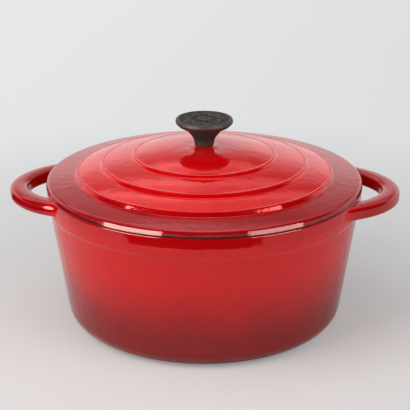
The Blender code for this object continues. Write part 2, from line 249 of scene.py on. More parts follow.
class Finish:
    """A finish made of one principled shader."""

    name: str

    def inputs(self, graph: Graph) -> dict[str | int, Any]:
        """What the shader gets, which each finish says for itself."""
        raise NotImplementedError

    def material(self) -> bpy.types.Material:
        """Build the finish.

        Returns:
            The new material.
        """
        material, graph = new_material(self.name)
        graph.finish(graph.add("ShaderNodeBsdfPrincipled", inputs=self.inputs(graph)))
        return material


class Fade(Enum):
    """The direction in which a sprayed second coat fades in."""

    DOWN = "down"
    OUTWARD = "outward"


@dataclass(frozen=True)
class RedEnamel(Finish):
    """Vitreous enamel, sprayed in two reds and fired: deep gloss over a soft orange peel.

    The red glass lets part of its gloss come back red from the ground coat below it,
    which a low metallic share gives.
    """

    name: str
    fade: Fade
    base: str
    second: str
    # On the pot the edge colour darkens the band under the rim as painted shade of the lid.
    edge: str
    fade_mm: tuple[float, float]
    edge_mm: tuple[float, float]
    peel_mm: float = 2.5
    peel_height_mm: float = 0.03
    swell_mm: float = 9.0
    swell_height_mm: float = 0.16
    stretch: float = 1.0
    cloud_mm: float = 45.0
    mottle_mm: float = 9.0
    roughness: float = 0.07
    metallic: float = 0.2
    edge_metallic: float = 0.12
    ior: float = 1.5
    bare_mm: float | None = None
    bare: str = "2A0B09"
    tatter_mm: float = 2.4
    tatter_size_mm: float = 7.0
    bare_blur_mm: float = 0.2

    def inputs(self, graph: Graph) -> dict[str | int, Any]:
        """A colour that fades between two reds and darkens at its edge, over the relief; on the
        pot's band that darker edge is painted shade.

        Args:
            graph: The material's nodes.

        Returns:
            The shader's inputs.
        """
        place = graph.place()
        axes = graph.axes(place)
        along = axes["Z"] if self.fade is Fade.DOWN else graph.length(graph.flat(axes))
        cloud = graph.noise(place, self.cloud_mm, Detail=3.0, Roughness=0.6)
        drift = graph.maths("MULTIPLY_ADD", cloud, self.wander_mm * MM, along)
        colour = linear(self.base)
        for way, middle, code, (start, end) in (
            (drift, 0.5 * self.wander_mm, self.second, self.fade_mm),
            (along, 0.0, self.edge, self.edge_mm),
        ):
            share = graph.ranged(way, (start + middle) * MM, (end + middle) * MM, smooth=True)
            colour = graph.mixed(share, colour, linear(code))
        mottle = graph.noise(place, self.mottle_mm, Detail=4.0)
        tone = {"Value": graph.ranged(mottle, 0.3, 0.7, 0.93, 1.05), "Color": colour}
        shaded = graph.add("ShaderNodeHueSaturation", inputs=tone).outputs["Color"]
        if self.bare_mm is not None:
            shaded = self.drawn_back(graph, place, axes["Z"], shaded)
        return {
            "Base Color": shaded,
            "Metallic": graph.ranged(share, 0.0, 1.0, self.metallic, self.edge_metallic),
            "Roughness": self.roughness,
            "IOR": self.ior,
            "Normal": self.relief(graph, place),
        }

    @property
    def wander_mm(self) -> float:
        """How far the edge of the second coat wanders."""
        start, end = self.fade_mm
        return 0.35 * abs(end - start)

    def drawn_back(self, graph: Graph, place: Socket, height: Socket, colour: Socket) -> Socket:
        """Let the brown ground coat show in a ragged line where the glass left an edge.

        Args:
            graph: The material's nodes.
            place: The object coordinates.
            height: The height of the surface.
            colour: The colour of the glass.

        Returns:
            The colour with the ground coat below the ragged line.
        """
        tatter = graph.noise(place, self.tatter_size_mm, Detail=4.0)
        level = graph.maths("MULTIPLY_ADD", tatter, self.tatter_mm * MM, height)
        line = self.bare_mm + 0.5 * self.tatter_mm
        low, high = (line - self.bare_blur_mm) * MM, (line + self.bare_blur_mm) * MM
        return graph.mixed(graph.ranged(level, low, high, 1.0, 0.0), colour, linear(self.bare))

    def relief(self, graph: Graph, place: Socket) -> Socket:
        """Orange peel and slow swells of the fired coat.

        Args:
            graph: The material's nodes.
            place: The object coordinates.

        Returns:
            The bumped normal.
        """
        mapping = {"Vector": place, "Scale": (1.0, 1.0, 1.0 / self.stretch)}
        stretched = graph.add("ShaderNodeMapping", inputs=mapping).outputs["Vector"]
        others = {"Strength": 1.0}
        for size_mm, height_mm in (
            (self.swell_mm, self.swell_height_mm),
            (self.peel_mm, self.peel_height_mm),
        ):
            wave = graph.noise(stretched, size_mm, Detail=1.0)
            others["Normal"] = graph.bumped(wave, height_mm, **others)
        return others["Normal"]


@dataclass(frozen=True)
class LiningEnamel(Finish):
    """Sand enamel, glazed: the pale gloss lining of the cooking surfaces."""

    name: str = "sand_enamel_glazed"
    base: str = "E9DFC9"
    speck: str = "C9BA9C"
    speck_mm: float = 3.0
    swell_mm: float = 14.0
    roughness: float = 0.12
    ior: float = 1.5

    def inputs(self, graph: Graph) -> dict[str | int, Any]:
        """A sand colour with darker specks over slow swells.

        Args:
            graph: The material's nodes.

        Returns:
            The shader's inputs.
        """
        place = graph.place()
        grain = graph.noise(place, self.speck_mm, Detail=5.0, Roughness=0.7)
        share = graph.ranged(grain, 0.52, 0.75, 0.0, 0.5)
        return {
            "Base Color": graph.mixed(share, linear(self.base), linear(self.speck)),
            "Roughness": self.roughness,
            "IOR": self.ior,
            "Normal": graph.bumped(graph.noise(place, self.swell_mm), 0.04),
        }


@dataclass(frozen=True)
class RimIron(Finish):
    """Cast iron under a matt black ground coat: the bare rims that touch, dark and grainy."""

    name: str = "cast_iron_ground_coat"
    base: str = "260F0D"
    worn: str = "452420"
    grain_mm: float = 0.8
    roughness: float = 0.62
    ior: float = 1.4

    def inputs(self, graph: Graph) -> dict[str | int, Any]:
        """A dark coat with worn grains.

        Args:
            graph: The material's nodes.

        Returns:
            The shader's inputs.
        """
        grain = graph.noise(graph.place(), self.grain_mm, Detail=4.0)
        share = graph.ranged(grain, 0.45, 0.75)
        return {
            "Base Color": graph.mixed(share, linear(self.base), linear(self.worn)),
            "Roughness": self.roughness,
            "IOR": self.ior,
            "Normal": graph.bumped(grain, 0.05),
        }


@dataclass(frozen=True)
class KnobPhenolic(Finish):
    """Phenolic, compression moulded: near black with a satin skin and dusty high spots.

    The hollows of the relief and the neck under the disc are painted near black as painted
    shade, with a duller gloss, so the wreath stands out.
    """

    name: str = "phenolic_moulded"
    base: str = "242120"
    dust: str = "3C3936"
    hollow_shade: str = "0E0C0B"
    dish_mm: float = 177.7
    dish_radius_mm: float = 20.9
    grain_mm: float = 0.7
    roughness: float = 0.5
    hollow_roughness: float = 0.7
    ior: float = 1.5

    def inputs(self, graph: Graph) -> dict[str | int, Any]:
        """A grained black that is dustier and glossier on the high spots, with painted shade in the
        hollows.

        Args:
            graph: The material's nodes.

        Returns:
            The shader's inputs.
        """
        place = graph.place()
        grain = graph.noise(place, self.grain_mm, Detail=3.0)
        dusty = graph.ranged(grain, 0.4, 0.7)
        colour = graph.mixed(dusty, linear(self.base), linear(self.dust))
        depth = self.depth(graph, place)
        gloss = graph.ranged(grain, 0.3, 0.7, self.roughness - 0.06, self.roughness + 0.1)
        return {
            # Near black painted shade goes where the depth mask is 1: the dish's hollows and the
            # neck under the disc.
            "Base Color": graph.mixed(depth, colour, linear(self.hollow_shade)),
            "Roughness": graph.mixed(depth, gloss, self.hollow_roughness, "FLOAT"),
            "IOR": self.ior,
            "Normal": graph.bumped(grain, 0.04),
        }

    def depth(self, graph: Graph, place: Socket) -> Socket:
        """Where the surface lies deep between the leaves of the dish, or below it, and gets painted
        shade.

        Args:
            graph: The material's nodes.
            place: The object coordinates.

        Returns:
            1 at the bottom of the dish and on the neck, 0 on the leaves and the lip.
        """
        axes = graph.axes(place)
        shares = []
        for way, start, end in (
            (axes["Z"], self.dish_mm + 0.05, self.dish_mm + 0.55),
            (graph.length(graph.flat(axes)), self.dish_radius_mm - 0.3, self.dish_radius_mm + 0.3),
        ):
            shares.append(graph.ranged(way, start * MM, end * MM, 1.0, 0.0))
        return graph.maths("MULTIPLY", *shares)


@dataclass(frozen=True)
class TurnedMetal(Finish):
    """Brass or stainless steel, turned: fine rings from the tool across a bright metal."""

    name: str
    base: str
    ring_mm: float = 0.25
    roughness: float = 0.28

    def inputs(self, graph: Graph) -> dict[str | int, Any]:
        """A bright metal with rings in its gloss and its relief.

        Args:
            graph: The material's nodes.

        Returns:
            The shader's inputs.
        """
        settings = {"wave_type": "RINGS", "rings_direction": "Z"}
        scale = per_metre(self.ring_mm) / 20.0
        wave = {"Vector": graph.place(), "Scale": scale, "Distortion": 0.6}
        rings = graph.add("ShaderNodeTexWave", settings, wave).outputs["Fac"]
        dull, bright = self.roughness + 0.08, self.roughness - 0.05
        return {
            "Base Color": linear(self.base),
            "Metallic": 1.0,
            "Roughness": graph.ranged(rings, 0.0, 1.0, bright, dull),
            "Normal": graph.bumped(rings, 0.006),
        }


# Turned shapes


class Coat(IntEnum):
    """Which finish a stretch of a casting's outline wears."""

    RED = 0
    IRON = 1
    LINING = 2


class Corner(NamedTuple):
    """One corner of an outline, in millimetres, and the coat of what follows it."""

    radius: float
    height: float
    rounding: float = 0.0
    coat: Coat = Coat.RED


class Point(NamedTuple):
    """One point of a rounded outline, in millimetres."""

    radius: float
    height: float
    coat: Coat


def bowed(start: Corner, end: Corner, bow: float, count: int) -> list[Corner]:
    """Points between two corners on a shallow arc, without the corners themselves.

    Args:
        start: Where the stretch begins.
        end: Where it ends.
        bow: How far the middle stands proud of the straight line, in millimetres.
        count: How many points to add.

    Returns:
        The points in between, in the coat of the first corner.
    """
    line = Vector((end.radius - start.radius, end.height - start.height))
    proud = Vector((-line.y, line.x)).normalized()
    if proud.y < 0.0:
        proud.negate()
    points = []
    for index in range(1, count + 1):
        share = index / (count + 1)
        lift = 4.0 * bow * share * (1.0 - share)
        radius = start.radius + line.x * share + proud.x * lift
        height = start.height + line.y * share + proud.y * lift
        points.append(Corner(radius, height, 0.0, start.coat))
    return points


@dataclass
class TurnedShape:
    """A shape made by turning one outline about the pot's axis."""

    name: str
    corners: list[Corner]
    steps: int = 216
    closed: bool = False
    arc_step_deg: float = 9.0
    support_mm: float = 0.6

    def outline(self) -> list[Point]:
        """Round the corners.

        Returns:
            Outline points with short support stretches beside each rounding.
        """
        points: list[Point] = []
        count = len(self.corners)
        for index, corner in enumerate(self.corners):
            at_end = index in (0, count - 1) and not self.closed
            if corner.rounding <= 0.0 or at_end:
                points.append(Point(corner.radius, corner.height, corner.coat))
                continue
            before = self.corners[index - 1]
            after = self.corners[(index + 1) % count]
            points += self.arc(before, corner, after)
        return points

    def arc(self, before: Corner, corner: Corner, after: Corner) -> list[Point]:
        """Points of one rounding.

        Args:
            before: The corner before it.
            corner: The corner to round.
            after: The corner after it.

        Returns:
            The arc's points, with a support point on each side where there is room.
        """
        middle = Vector((corner.radius, corner.height))
        sides = []
        room = []
        for neighbour in (before, after):
            side = Vector((neighbour.radius, neighbour.height)) - middle
            sides.append(side.normalized())
            room.append(side.length * (0.5 if neighbour.rounding > 0.0 else 1.0))
        half = sides[0].angle(sides[1]) / 2.0
        tangent = min(corner.rounding / math.tan(half), 0.96 * min(room))
        radius = tangent * math.tan(half)
        centre = middle + (sides[0] + sides[1]).normalized() * (radius / math.sin(half))
        spoke = middle + sides[0] * tangent - centre
        turn = -spoke.angle_signed(middle + sides[1] * tangent - centre)
        steps = max(2, math.ceil(abs(math.degrees(turn)) / self.arc_step_deg))
        points = []
        for step in range(steps + 1):
            cosine = math.cos(turn * step / steps)
            sine = math.sin(turn * step / steps)
            across = centre.x + spoke.x * cosine - spoke.y * sine
            upward = centre.y + spoke.x * sine + spoke.y * cosine
            points.append(Point(across, upward, corner.coat))
        lead, tail = (middle + side * (tangent + self.support_mm) for side in sides)
        if room[0] - tangent > 1.5 * self.support_mm:
            points.insert(0, Point(lead.x, lead.y, before.coat))
        if room[1] - tangent > 1.5 * self.support_mm:
            points.append(Point(tail.x, tail.y, corner.coat))
        return points

    def build(
        self,
        materials: list[bpy.types.Material],
        shift: Callable[[float, float, float], float] | None = None,
        sharp_deg: float = 50.0,
    ) -> bpy.types.Object:
        """Turn the outline into an object.

        Args:
            materials: The finish for each coat, in the order of Coat.
            shift: How far a point at (radius, turn, height) is raised, all but the
                turn in millimetres.
            sharp_deg: Edges that bend more than this stay sharp.

        Returns:
            The new object, linked to the scene.
        """
        shape = bmesh.new()
        rows = []
        outline = self.outline()
        for point in outline:
            if point.radius < 1e-6:
                rows.append([shape.verts.new((0.0, 0.0, point.height * MM))] * self.steps)
                continue
            row = []
            for step in range(self.steps):
                turn = 2.0 * math.pi * step / self.steps
                raised = shift(point.radius, turn, point.height) if shift else 0.0
                x = point.radius * math.cos(turn) * MM
                y = point.radius * math.sin(turn) * MM
                row.append(shape.verts.new((x, y, (point.height + raised) * MM)))
            rows.append(row)
        pairs = list(zip(range(len(rows) - 1), range(1, len(rows))))
        if self.closed:
            pairs.append((len(rows) - 1, 0))
        for first, second in pairs:
            for step in range(self.steps):
                after = (step + 1) % self.steps
                near, far = rows[first], rows[second]
                corners = list(dict.fromkeys((near[step], far[step], far[after], near[after])))
                if len(corners) > 2:
                    face = shape.faces.new(corners)
                    face.material_index = int(outline[first].coat)
        return finish_mesh(self.name, shape, materials, sharp_deg)


def linked(name: str, data: bpy.types.ID) -> bpy.types.Object:
    """A new object with this data, linked to the scene."""
    thing = bpy.data.objects.new(name, data)
    bpy.context.scene.collection.objects.link(thing)
    return thing


def finish_mesh(
    name: str, shape: bmesh.types.BMesh, materials: list[bpy.types.Material], sharp_deg: float
) -> bpy.types.Object:
    """Make an object of a filled bmesh, with smooth shading and sharp corners.

    Args:
        name: The piece's name.
        shape: The filled bmesh, which is freed.
        materials: The finishes by material index.
        sharp_deg: Edges that bend more than this stay sharp.

    Returns:
        The new object, linked to the scene.
    """
    bmesh.ops.recalc_face_normals(shape, faces=shape.faces)
    mesh = bpy.data.meshes.new(name)
    shape.to_mesh(mesh)
    shape.free()
    mesh.shade_smooth()
    mesh.set_sharp_from_angle(angle=math.radians(sharp_deg))
    for material in materials:
        mesh.materials.append(material)
    return linked(name, mesh)


# The pot


@dataclass
class PotCasting:
    """The pot: wall, band under the rim, foot and lined cooking space."""

    finishes: list[bpy.types.Material]
    rim_radius: float = 136.0
    rim_height: float = 121.4
    rim_width: float = 4.4
    rim_rounding: float = 1.2
    taper_start: float = 111.6
    band_edge: float = 104.3
    band_taper: float = 1.0
    bead: float = 0.15
    ring_step: float = 1.2
    ring_fall: float = 2.0
    wall_draft: float = 0.151
    wall: float = 3.4
    base_rounding: float = 17.0
    foot_radius: float = 103.7
    foot_width: float = 22.0
    foot_recess: float = 0.8
    floor: float = 3.8

    @property
    def wall_top(self) -> float:
        """Height at which the plain wall begins."""
        return self.band_edge - self.ring_fall

    def wall_radius(self, height: float) -> float:
        """Outer radius of the plain wall."""
        top = self.rim_radius - self.band_taper - self.ring_step
        return top - self.wall_draft * (self.wall_top - height)

    def band_radius(self, height: float) -> float:
        """Outer radius of the band under the rim.

        Args:
            height: A height within the band, in millimetres.

        Returns:
            The radius, which the rim's rounding narrows at the very top.
        """
        shoulder = self.rim_height - self.rim_rounding
        if height > shoulder:
            rise = min(height - shoulder, self.rim_rounding)
            bulge = math.sqrt(self.rim_rounding**2 - rise**2)
            return self.rim_radius - self.rim_rounding + bulge
        if height > self.taper_start:
            return self.rim_radius
        share = (self.taper_start - height) / (self.taper_start - self.band_edge)
        return self.rim_radius - self.band_taper * share

    def outside(self) -> list[Corner]:
        """Corners from the rim down the wall to the middle of the base.

        Returns:
            The corners in order.
        """
        recess_radius = self.foot_radius - self.foot_width
        edge = self.rim_radius - self.band_taper
        iron = Coat.IRON
        return [
            Corner(self.rim_radius - self.rim_rounding - 0.6, self.rim_height),
            Corner(self.rim_radius, self.rim_height, self.rim_rounding),
            Corner(self.rim_radius, self.taper_start, 14.0),
            Corner(edge + self.bead, self.band_edge + 0.4, 0.9),
            Corner(self.wall_radius(self.wall_top), self.wall_top, 1.2),
            Corner(self.wall_radius(0.0), 0.0, self.base_rounding),
            Corner(self.foot_radius - 1.5, 0.0, 0.0, iron),
            Corner(recess_radius, 0.0, 0.4, iron),
            Corner(recess_radius - 1.6, self.foot_recess, 0.6, iron),
            Corner(0.0, self.foot_recess, 0.0, iron),
        ]

    def inside(self) -> list[Corner]:
        """Corners from the middle of the cooking space up its wall to the rim.

        Returns:
            The corners in order.
        """
        base = self.floor + self.foot_recess
        mouth = self.rim_radius - self.rim_width
        slope = self.wall / math.cos(math.atan(self.wall_draft))
        collar = self.band_edge + self.ring_fall
        slant = collar - 4.0
        rounding = self.base_rounding - self.wall
        lining = Coat.LINING
        return [
            Corner(0.0, base, 0.0, lining),
            Corner(self.wall_radius(base) - slope, base, rounding, lining),
            Corner(self.wall_radius(slant) - slope, slant, 4.0, lining),
            Corner(mouth, collar, 4.0, lining),
            Corner(mouth, self.rim_height - 0.9, 0.0, Coat.IRON),
            Corner(mouth, self.rim_height, 0.8, Coat.IRON),
        ]

    def build(self) -> bpy.types.Object:
        """Turn the casting and ride it on the pot body.

        Returns:
            The new object.
        """
        shape = TurnedShape("pot_casting", self.outside() + self.inside(), closed=True)
        piece = shape.build(self.finishes)
        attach(piece, "pot")
        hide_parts("pot")
        return piece


def signed_power(value: float, power: float) -> float:
    """A power of a number that keeps the number's sign."""
    return math.copysign(abs(value) ** power, value)


@dataclass
class LoopHandle:
    """A cast loop handle, run out of the band and blended into it."""

    pot: PotCasting
    finish: bpy.types.Material
    name: str
    turn_deg: float
    root_depth: float = 28.8
    reach: float = 54.0
    half_spread: float = 54.0
    plan_power: float = 1.85
    half_width: float = 8.0
    tip_height: float = 12.9
    root_height: float = 12.2
    below_rim: float = 1.0
    drop: float = 0.9
    top_power: float = 3.9
    bottom_power: float = 2.3
    widest: float = -0.4
    blend_length: float = 11.0
    spread_outer: float = 12.0
    spread_inner: float = 4.0
    sides: int = 44
    rings: int = 64
    blend_rings: int = 12
    sunk: float = 0.04
    sharp_deg: float = 55.0

    @property
    def root_level(self) -> float:
        """Height of the middle of the root."""
        return self.pot.rim_height - self.below_rim - self.root_height / 2.0

    def middle(self, angle: float) -> Vector:
        """Point on the centre line.

        Args:
            angle: Place along the handle, from -90 to 90 degrees, in radians.

        Returns:
            The point in millimetres.
        """
        power = 2.0 / self.plan_power
        along = math.cos(angle) ** power
        out = self.pot.rim_radius - self.root_depth + self.reach * along
        across = self.half_spread * signed_power(math.sin(angle), power)
        return Vector((out, across, self.root_level - self.drop * along))

    def frame(self, angle: float) -> tuple[Vector, Vector, Vector]:
        """Middle, forward and outward directions of one section.

        Args:
            angle: Place along the handle.

        Returns:
            The middle, the level direction along the handle, and the level direction
            across it, away from the loop's inside.
        """
        ahead = self.middle(angle + 0.01) - self.middle(angle - 0.01)
        ahead.z = 0.0
        ahead.normalize()
        return self.middle(angle), ahead, Vector((ahead.y, -ahead.x, 0.0))

    def root_angle(self, distance: float) -> float:
        """Angle at which the centre line stands a distance off the band.

        Args:
            distance: Radial distance from the band, in millimetres.

        Returns:
            The angle in radians.
        """
        low, high = 0.0, math.radians(89.0)
        for _ in range(40):
            angle = (low + high) / 2.0
            if self.middle(angle).xy.length > self.pot.rim_radius + distance:
                low = angle
            else:
                high = angle
        return low

    def section(self, angle: float) -> list[Vector]:
        """Points of one section of the free handle.

        Args:
            angle: Place along the handle.

        Returns:
            The points round the section.
        """
        middle, _, outward = self.frame(angle)
        height = self.tip_height + (self.root_height - self.tip_height) * (1.0 - math.cos(angle))
        points = []
        for side in range(self.sides):
            across, upward = self.superellipse(side)
            rise = Vector((0.0, 0.0, 0.5 * height * upward))
            points.append(middle + outward * (self.half_width * across) + rise)
        return points

    def superellipse(self, side: int) -> tuple[float, float]:
        """Unit place of one point of the section, outward and up.

        Args:
            side: Number of the point, from the outer side over the top.

        Returns:
            Its place from -1 to 1 across and upward; the widest level is below the middle.
        """
        turn = 2.0 * math.pi * side / self.sides
        cosine, sine = math.cos(turn), math.sin(turn)
        power = 2.0 / (self.top_power if sine >= 0.0 else self.bottom_power)
        reach = 1.0 - self.widest if sine >= 0.0 else 1.0 + self.widest
        return signed_power(cosine, power), self.widest + reach * signed_power(sine, power)

    def footprint(self, end: float) -> tuple[list[Vector], list[Vector]]:
        """Where the handle meets the band at one end.

        Args:
            end: 1 for the end at +Y, -1 for the one at -Y.

        Returns:
            The points on the band, and for each the direction on the band's face that
            leads back towards the handle.
        """
        middle, ahead, _ = self.frame(self.root_angle(0.0) * end)
        bearing = math.atan2(middle.y, middle.x)
        normal = Vector((math.cos(bearing), math.sin(bearing), 0.0))
        half = self.half_width / abs(ahead.dot(normal))
        points, returns = [], []
        for side in range(self.sides):
            across, upward = self.superellipse(side)
            spread = self.spread_outer if across > 0.0 else self.spread_inner
            reach = (half + spread) * across * end
            height = self.root_level + 0.5 * (self.root_height + 0.9) * upward
            height = max(self.pot.band_edge + 0.35, min(height, self.pot.rim_height - 0.35))
            spot = bearing + reach / self.pot.rim_radius
            radius = self.pot.band_radius(height) - self.sunk
            points.append(Vector((radius * math.cos(spot), radius * math.sin(spot), height)))
            level_way = Vector((-math.sin(spot), math.cos(spot), 0.0))
            fall = Vector((0.0, 0.0, -0.5 * upward))
            returns.append(level_way * (-spread * across * end) + fall)
        return points, returns

    def blend(self, end: float) -> list[list[Vector]]:
        """Rings that carry the handle's end on to the band.

        Args:
            end: 1 for the end at +Y, -1 for the one at -Y.

        Returns:
            Rings from beside the last free section to the band, with one more inside it.
        """
        angle = self.root_angle(self.blend_length) * end
        start = self.section(angle)
        _, ahead, _ = self.frame(angle)
        toward = ahead * end
        points, returns = self.footprint(end)
        rings = []
        for index in range(1, self.blend_rings + 1):
            share = index / self.blend_rings
            ring = []
            for first, last, back in zip(start, points, returns):
                inner = last + back * 0.9
                near = first + toward * (0.6 * (inner - first).dot(toward))
                ring.append(
                    first * (1.0 - share) ** 3
                    + near * (3.0 * share * (1.0 - share) ** 2)
                    + inner * (3.0 * share**2 * (1.0 - share))
                    + last * share**3
                )
            rings.append(ring)
        rings.append([self.inward(point, 1.5) for point in rings[-1]])
        return rings

    @staticmethod
    def inward(point: Vector, depth: float) -> Vector:
        """The point moved towards the pot's axis by a depth."""
        scale = (point.xy.length - depth) / point.xy.length
        return Vector((point.x * scale, point.y * scale, point.z))

    def build(self) -> bpy.types.Object:
        """Loft the handle and ride it on the pot body.

        Returns:
            The new object.
        """
        free_end = self.root_angle(self.blend_length)
        rings = list(reversed(self.blend(-1.0)))
        for index in range(self.rings + 1):
            rings.append(self.section(free_end * (2.0 * index / self.rings - 1.0)))
        rings += self.blend(1.0)
        turn = math.radians(self.turn_deg)
        cosine, sine = math.cos(turn), math.sin(turn)
        shape = bmesh.new()
        rows = []
        for ring in rings:
            row = []
            for point in ring:
                x = point.x * cosine - point.y * sine
                y = point.x * sine + point.y * cosine
                row.append(shape.verts.new((x * MM, y * MM, point.z * MM)))
            rows.append(row)
        for row, following in zip(rows, rows[1:]):
            for side in range(self.sides):
                after = (side + 1) % self.sides
                shape.faces.new((row[side], row[after], following[after], following[side]))
        shape.faces.new(list(reversed(rows[0])))
        shape.faces.new(rows[-1])
        piece = finish_mesh(self.name, shape, [self.finish], self.sharp_deg)
        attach(piece, "pot")
        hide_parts("pot")
        return piece


# The lid


class LidRing(NamedTuple):
    """One step of the lid: lip radius, height of its foot over the seat, rise and run."""

    radius: float
    foot: float
    rise: float
    run: float


@dataclass
class LidCasting:
    """The lid: three stepped rings under a low crown, with a boss for the knob."""

    finishes: list[bpy.types.Material]
    seat: float = 121.7
    radius: float = 136.5
    edge_height: float = 5.9
    edge_rounding: float = 3.3
    edge_draft: float = 0.85
    wall: float = 3.4
    boss_radius: float = 8.2
    boss_height: float = 33.6
    hole_radius: float = 3.4
    pad_radius: float = 12.0
    pad_height: float = 25.1
    crown_under: float = 24.8
    crown_under_radius: float = 38.5
    mouth_radius: float = 131.6
    clearance: float = 1.8
    skirt_depth: float = 4.0
    skirt_width: float = 3.2
    skirt_slope: float = 3.18
    boss_show: float = 0.9
    boss_slope_mm: float = 0.55
    flare_height: float = 0.4
    flare_bow: float = -0.1
    crown_start: float = 15.5
    bows: tuple[float, ...] = (1.35, 0.35, 0.35)
    flange_bow: float = 0.1
    bead_height: float = 0.13
    bead_width: float = 2.2
    rings: tuple[LidRing, ...] = (
        LidRing(61.3, 24.0, 2.6, 1.55),
        LidRing(88.4, 16.4, 3.4, 1.68),
        LidRing(110.1, 8.4, 4.1, 1.87),
    )

    def top(self) -> list[Corner]:
        """Corners over the top, from the screw hole out to the edge.

        Returns:
            The corners in order.
        """
        boss_top = self.seat + self.boss_height
        foot_of_boss = Corner(self.boss_radius + self.boss_slope_mm, boss_top - self.boss_show)
        crown = Corner(self.crown_start, boss_top - self.boss_show - self.flare_height)
        corners = [
            Corner(self.hole_radius, boss_top),
            Corner(self.boss_radius, boss_top, 0.12),
            foot_of_boss,
            *bowed(foot_of_boss, crown, self.flare_bow, 6),
            crown,
        ]
        for ring, bow in zip(self.rings, self.bows):
            lip = self.seat + ring.foot + ring.rise
            foot = self.seat + ring.foot
            shoulder = Corner(ring.radius - self.bead_width, lip, 2.0)
            corners += bowed(corners[-1], shoulder, bow, 6)
            corners += [
                shoulder,
                Corner(ring.radius - 0.1, lip + self.bead_height, 1.6),
                Corner(ring.radius + ring.run, foot - 0.1, 0.7),
            ]
        edge = self.seat + self.edge_height
        last = Corner(self.radius - self.edge_draft, edge, self.edge_rounding)
        return corners + bowed(corners[-1], last, self.flange_bow, 2) + [last]

    def edge(self) -> list[Corner]:
        """Corners down the edge, round the skirt and in under the flange.

        Returns:
            The corners in order.
        """
        skirt = self.mouth_radius - self.clearance
        skirt_foot = self.seat - self.skirt_depth
        iron, lining = Coat.IRON, Coat.LINING
        inner = skirt - self.skirt_width
        return [
            Corner(self.radius, self.seat + 0.7, 0.4, iron),
            Corner(self.radius - 0.5, self.seat, 0.4, iron),
            Corner(skirt, self.seat, 0.6, iron),
            Corner(skirt, skirt_foot, 0.8, lining),
            Corner(inner, skirt_foot, 0.8, lining),
            Corner(inner - self.skirt_width, self.seat + self.skirt_slope, 2.0, lining),
        ]

    def under(self) -> list[Corner]:
        """Corners of the lined underside, from the edge in to the screw hole.

        Returns:
            The corners in order.
        """
        lining = Coat.LINING
        corners = []
        half = self.wall / 2.0
        for ring in reversed(self.rings):
            foot = self.seat + ring.foot - self.wall
            corners += [
                Corner(ring.radius + ring.run - half, foot, 1.5, lining),
                Corner(ring.radius - half, foot + ring.rise, 1.5, lining),
            ]
        pad = self.seat + self.pad_height
        return corners + [
            Corner(self.crown_under_radius, self.seat + self.crown_under, 0.0, lining),
            Corner(self.pad_radius + 2.0, pad, 3.0, lining),
            Corner(self.hole_radius, pad, 0.0, lining),
        ]

    def build(self) -> bpy.types.Object:
        """Turn the lid and ride it on the lid body.

        Returns:
            The new object.
        """
        corners = self.top() + self.edge() + self.under()
        piece = TurnedShape("lid_casting", corners, closed=True).build(self.finishes)
        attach(piece, "lid")
        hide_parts("lid")
        return piece


# The knob


